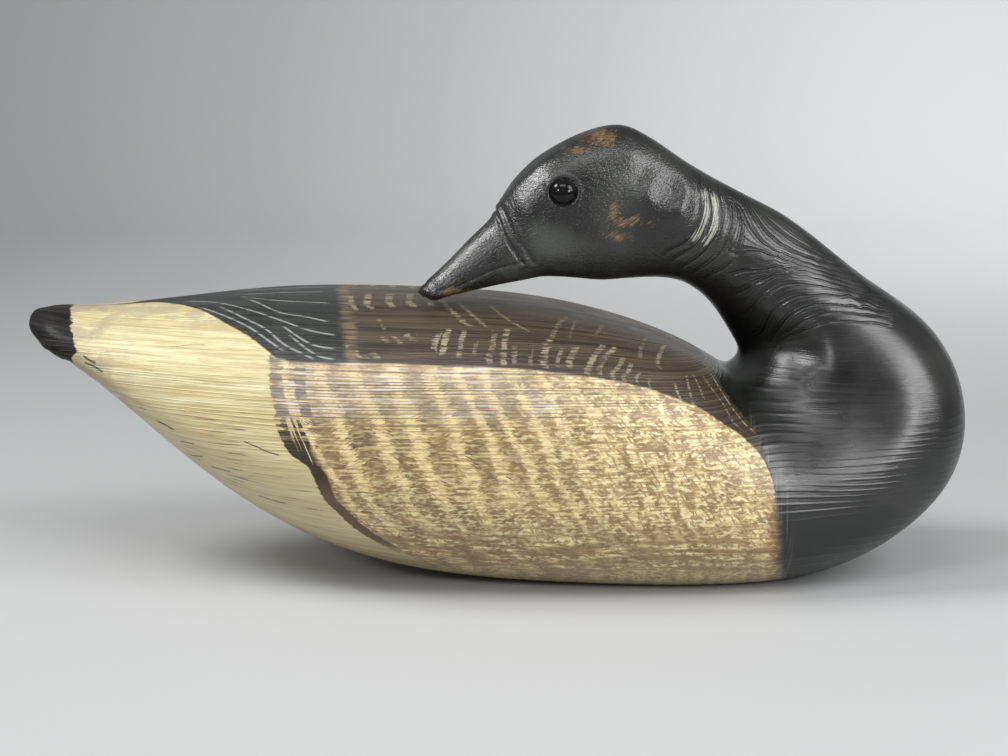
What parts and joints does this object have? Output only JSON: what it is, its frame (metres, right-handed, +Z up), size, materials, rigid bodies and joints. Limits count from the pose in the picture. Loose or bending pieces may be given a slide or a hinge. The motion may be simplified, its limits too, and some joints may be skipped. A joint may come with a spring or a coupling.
{
  "type": "goose decoy",
  "caption": "Carved and painted wooden goose decoy resting with its head turned back over its body, with glass eyes and a flat underside",
  "frame": {"origin": "on the surface that the decoy rests on, under the middle of its box", "axes": "+X from the tail towards the breast, +Y towards the body's left, +Z up. The picture shows the side at -Y, which is the body's right and the turned head's left"},
  "size_m": [0.5394, 0.2004, 0.2592],
  "materials": {
    "painted_wood": "hand-painted in black, umber, tan and cream over grooved wood, satin and worn in places",
    "eye_glass": "black glass, glossy"
  },
  "bodies": {
    "root": {"carved_goose": "painted_wood", "left_eye": "eye_glass", "right_eye": "eye_glass"}
  },
  "joints": []
}
